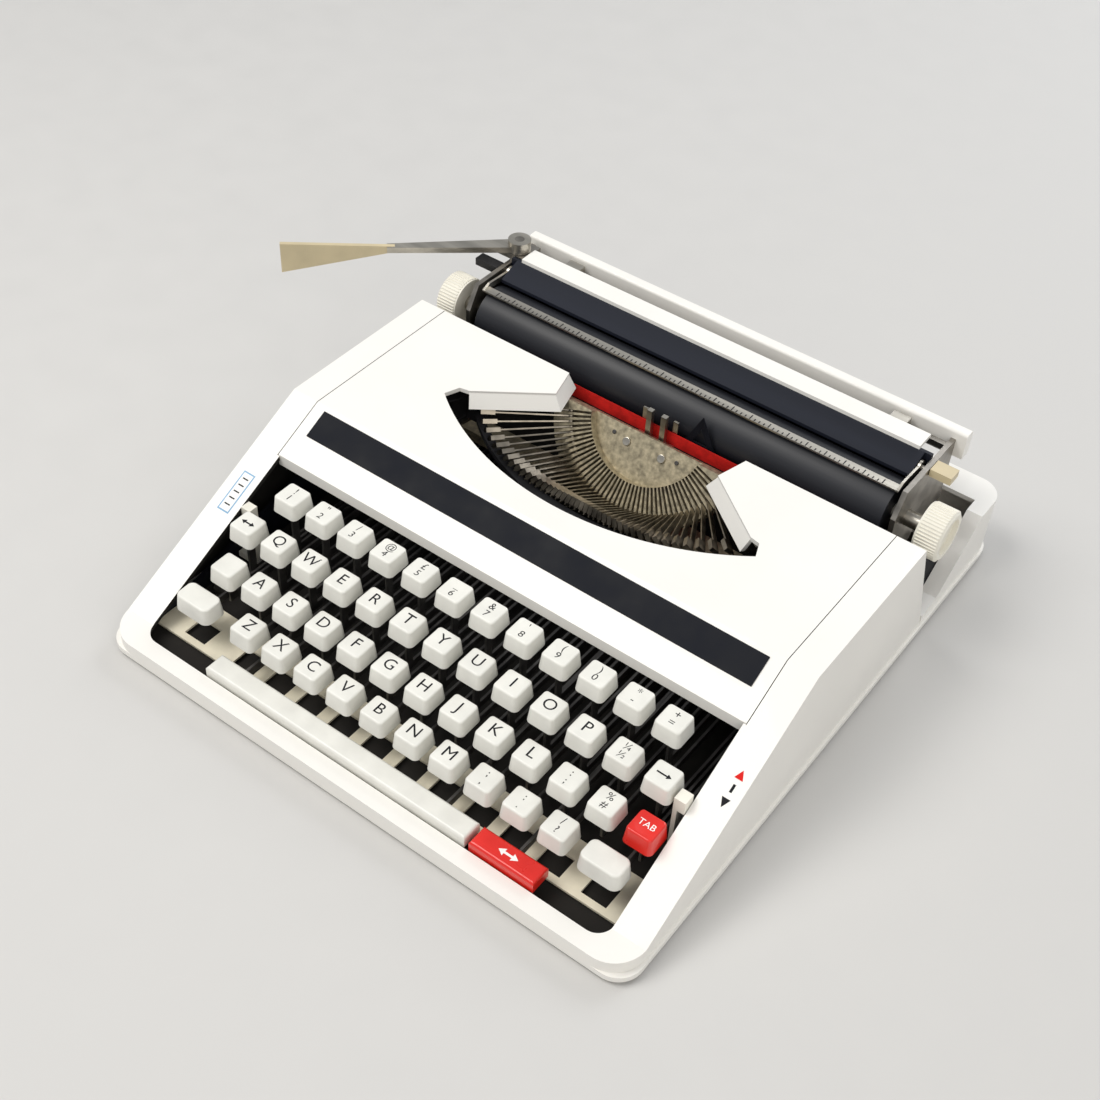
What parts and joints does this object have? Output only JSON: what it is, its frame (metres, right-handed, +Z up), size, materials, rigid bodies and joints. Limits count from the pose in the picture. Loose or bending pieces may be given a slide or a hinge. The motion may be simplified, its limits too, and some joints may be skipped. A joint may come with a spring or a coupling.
{
  "type": "portable manual typewriter",
  "caption": "Portable manual typewriter: moulded body with lift-off ribbon cover, hinged keys on levers, typebar segment and a sliding, shifting carriage with platen and line-space lever.",
  "frame": {"origin": "on the table top, under the middle of the body's footprint", "axes": "+X to the typist's right, +Y away from the typist, +Z up"},
  "size_m": [0.3571, 0.321, 0.0898],
  "materials": {
    "ivory_body": "smooth satin moulding",
    "key_white": "satin, slightly dished",
    "red_plastic": "glossy red",
    "black_trim": "satin black-blue paint",
    "platen_rubber": "matt black rubber",
    "black_plastic": "black moulding",
    "steel": "worn plated steel",
    "segment_metal": "cast, speckled grey",
    "cream_paint": "cream enamel",
    "tan_plastic": "tan moulding",
    "rubber_foot": "matt rubber",
    "ribbon_cloth": "inked cloth, red above black",
    "brass": "plain brass"
  },
  "bodies": {
    "frame": {"base_tray": "ivory_body", "body_shell": "ivory_body", "rear_panel": "ivory_body", "rubber_feet": "rubber_foot", "case_screws": "steel", "side_frames": "black_trim", "key_guide_plate": "cream_paint", "fulcrum_shaft": "steel", "type_segment": "segment_metal", "typebars": "steel", "typebar_rest": "black_plastic", "type_guide": "steel", "line_gauge": "black_trim", "spool_cups": "steel", "carriage_rail": "steel", "bell": "brass"},
    "cover": {"ribbon_cover": "ivory_body", "cover_stripe": "black_trim"},
    "number_row": {"number_row_keys": "key_white", "number_row_levers": "steel"},
    "upper_row": {"upper_row_keys": "key_white", "upper_row_levers": "steel"},
    "home_row": {"home_row_keys": "key_white", "home_row_levers": "steel"},
    "lower_row": {"lower_row_keys": "key_white", "lower_row_levers": "steel"},
    "h_key": {"key_h": "key_white", "key_h_lever": "steel"},
    "tab": {"tab_key": "red_plastic"},
    "backspace": {"backspace_key": "key_white"},
    "margin_release": {"margin_release_key": "key_white"},
    "shift_lock": {"shift_lock_key": "key_white"},
    "space": {"space_bar": "key_white"},
    "repeat": {"repeat_bar": "red_plastic"},
    "shift": {"shift_keys": "key_white", "shift_frame": "steel"},
    "h_typebar": {"typebar_h": "steel"},
    "vibrator": {"ribbon_vibrator": "steel", "ribbon": "ribbon_cloth"},
    "truck": {"carriage_truck": "steel"},
    "carriage": {"carriage_frame": "steel", "paper_table": "black_trim", "paper_rest": "ivory_body", "carriage_rear_cover": "ivory_body"},
    "drum": {"mainspring_drum": "steel"},
    "escapement": {"escapement_wheel": "brass"},
    "platen": {"platen": "platen_rubber", "platen_knobs": "key_white", "ratchet_wheel": "steel"},
    "feed": {"feed_rollers": "platen_rubber"},
    "bail": {"paper_bail": "steel"},
    "line_lever": {"return_lever": "tan_plastic"},
    "carriage_release": {"carriage_release": "tan_plastic"},
    "paper_release": {"paper_release": "black_plastic"},
    "stop_left": {"margin_stop_left": "steel"},
    "stop_right": {"margin_stop_right": "steel"},
    "spool_left": {"spool_left": "black_plastic"},
    "spool_right": {"spool_right": "black_plastic"},
    "selector": {"ribbon_selector": "key_white"},
    "touch": {"touch_lever": "key_white"}
  },
  "joints": [
    {"name": "cover_lift", "type": "slide", "parent": "frame", "child": "cover", "axis": [0, 0, 1], "range_m": [0, 0.15]},
    {"name": "number_row_press", "type": "hinge", "parent": "frame", "child": "number_row", "pos_m": [0, 0.05, 0.012], "axis": [1, 0, 0], "range_deg": [0, 2.7], "stiffness_Nm_per_rad": 4},
    {"name": "upper_row_press", "type": "hinge", "parent": "frame", "child": "upper_row", "pos_m": [0, 0.05, 0.012], "axis": [1, 0, 0], "range_deg": [0, 2.7], "stiffness_Nm_per_rad": 4},
    {"name": "home_row_press", "type": "hinge", "parent": "frame", "child": "home_row", "pos_m": [0, 0.05, 0.012], "axis": [1, 0, 0], "range_deg": [0, 2.7], "stiffness_Nm_per_rad": 4},
    {"name": "lower_row_press", "type": "hinge", "parent": "frame", "child": "lower_row", "pos_m": [0, 0.05, 0.012], "axis": [1, 0, 0], "range_deg": [0, 2.7], "stiffness_Nm_per_rad": 4},
    {"name": "h_key_press", "type": "hinge", "parent": "frame", "child": "h_key", "pos_m": [0, 0.05, 0.012], "axis": [1, 0, 0], "range_deg": [0, 2.7], "stiffness_Nm_per_rad": 1.5},
    {"name": "tab_press", "type": "hinge", "parent": "frame", "child": "tab", "pos_m": [0, 0.05, 0.012], "axis": [1, 0, 0], "range_deg": [0, 2.7], "stiffness_Nm_per_rad": 1.5},
    {"name": "backspace_press", "type": "hinge", "parent": "frame", "child": "backspace", "pos_m": [0, 0.05, 0.012], "axis": [1, 0, 0], "range_deg": [0, 2.7], "stiffness_Nm_per_rad": 1.5},
    {"name": "margin_release_press", "type": "hinge", "parent": "frame", "child": "margin_release", "pos_m": [0, 0.05, 0.012], "axis": [1, 0, 0], "range_deg": [0, 2.7], "stiffness_Nm_per_rad": 1.5},
    {"name": "shift_lock_press", "type": "hinge", "parent": "frame", "child": "shift_lock", "pos_m": [0, 0.05, 0.012], "axis": [1, 0, 0], "range_deg": [0, 2.7], "stiffness_Nm_per_rad": 1.5},
    {"name": "space_press", "type": "hinge", "parent": "frame", "child": "space", "pos_m": [0, 0.05, 0.012], "axis": [1, 0, 0], "range_deg": [0, 1.6], "stiffness_Nm_per_rad": 3},
    {"name": "repeat_press", "type": "hinge", "parent": "frame", "child": "repeat", "pos_m": [0, 0.05, 0.012], "axis": [1, 0, 0], "range_deg": [0, 1.6], "stiffness_Nm_per_rad": 2},
    {"name": "shift_press", "type": "hinge", "parent": "frame", "child": "shift", "pos_m": [0, 0.05, 0.012], "axis": [1, 0, 0], "range_deg": [0, 2.7], "stiffness_Nm_per_rad": 4},
    {"name": "h_typebar_swing", "type": "hinge", "parent": "frame", "child": "h_typebar", "pos_m": [0.00131, 0.03836, 0.0294], "axis": [-0.9996, -0.0159, -0.0245], "range_deg": [0, 84]},
    {"name": "vibrator_lift", "type": "slide", "parent": "frame", "child": "vibrator", "axis": [0, 0, 1], "range_m": [0, 0.01], "deforming": ["ribbon"]},
    {"name": "carriage_travel", "type": "slide", "parent": "frame", "child": "truck", "axis": [1, 0, 0], "range_m": [-0.11, 0.11]},
    {"name": "carriage_shift", "type": "slide", "parent": "truck", "child": "carriage", "axis": [0, 0, 1], "range_m": [0, 0.0051]},
    {"name": "drum_turn", "type": "hinge", "parent": "frame", "child": "drum", "pos_m": [-0.104, 0.124, 0.02], "axis": [0, 1, 0], "continuous": true},
    {"name": "escapement_turn", "type": "hinge", "parent": "frame", "child": "escapement", "pos_m": [0.02, 0.12, 0.02], "axis": [0, 1, 0], "continuous": true},
    {"name": "platen_turn", "type": "hinge", "parent": "carriage", "child": "platen", "pos_m": [0, 0.087, 0.0606], "axis": [1, 0, 0], "continuous": true},
    {"name": "feed_turn", "type": "hinge", "parent": "carriage", "child": "feed", "pos_m": [0, 0.087, 0.0408], "axis": [1, 0, 0], "continuous": true},
    {"name": "bail_lift", "type": "hinge", "parent": "carriage", "child": "bail", "pos_m": [0, 0.103, 0.077], "axis": [-1, 0, 0], "range_deg": [0, 60]},
    {"name": "line_lever_pull", "type": "hinge", "parent": "carriage", "child": "line_lever", "pos_m": [-0.12175, 0.115, 0.0865], "axis": [0, 0, 1], "range_deg": [0, 35], "stiffness_Nm_per_rad": 0.3},
    {"name": "carriage_release_press", "type": "hinge", "parent": "carriage", "child": "carriage_release", "pos_m": [0.1243, 0.112, 0.072], "axis": [1, 0, 0], "range_deg": [0, 12], "stiffness_Nm_per_rad": 0.5},
    {"name": "paper_release_pull", "type": "hinge", "parent": "carriage", "child": "paper_release", "pos_m": [-0.1243, 0.106, 0.068], "axis": [1, 0, 0], "range_deg": [0, 15], "stiffness_Nm_per_rad": 0.5},
    {"name": "stop_left_slide", "type": "slide", "parent": "carriage", "child": "stop_left", "axis": [1, 0, 0], "range_m": [0, 0.08]},
    {"name": "stop_right_slide", "type": "slide", "parent": "carriage", "child": "stop_right", "axis": [1, 0, 0], "range_m": [-0.08, 0]},
    {"name": "spool_left_turn", "type": "hinge", "parent": "frame", "child": "spool_left", "pos_m": [-0.106, 0.03, 0.053], "axis": [0, 0, 1], "continuous": true},
    {"name": "spool_right_turn", "type": "hinge", "parent": "frame", "child": "spool_right", "pos_m": [0.106, 0.03, 0.053], "axis": [0, 0, 1], "continuous": true},
    {"name": "selector_slide", "type": "slide", "parent": "frame", "child": "selector", "axis": [0, 1, 0], "range_m": [-0.004, 0.016]},
    {"name": "touch_slide", "type": "slide", "parent": "frame", "child": "touch", "axis": [0, 1, 0], "range_m": [-0.006, 0.006]}
  ],
  "couplings": [
    {"joint": "h_typebar_swing", "follows": "h_key_press", "ratio": 31.1},
    {"joint": "vibrator_lift", "follows": "h_key_press", "m_per_rad": 0.21},
    {"joint": "carriage_shift", "follows": "shift_press", "m_per_rad": 0.106},
    {"joint": "drum_turn", "follows": "carriage_travel", "rad_per_m": 71.4},
    {"joint": "escapement_turn", "follows": "carriage_travel", "rad_per_m": 111.1},
    {"joint": "feed_turn", "follows": "platen_turn", "ratio": -3.875},
    {"joint": "spool_right_turn", "follows": "spool_left_turn", "ratio": 1}
  ]
}
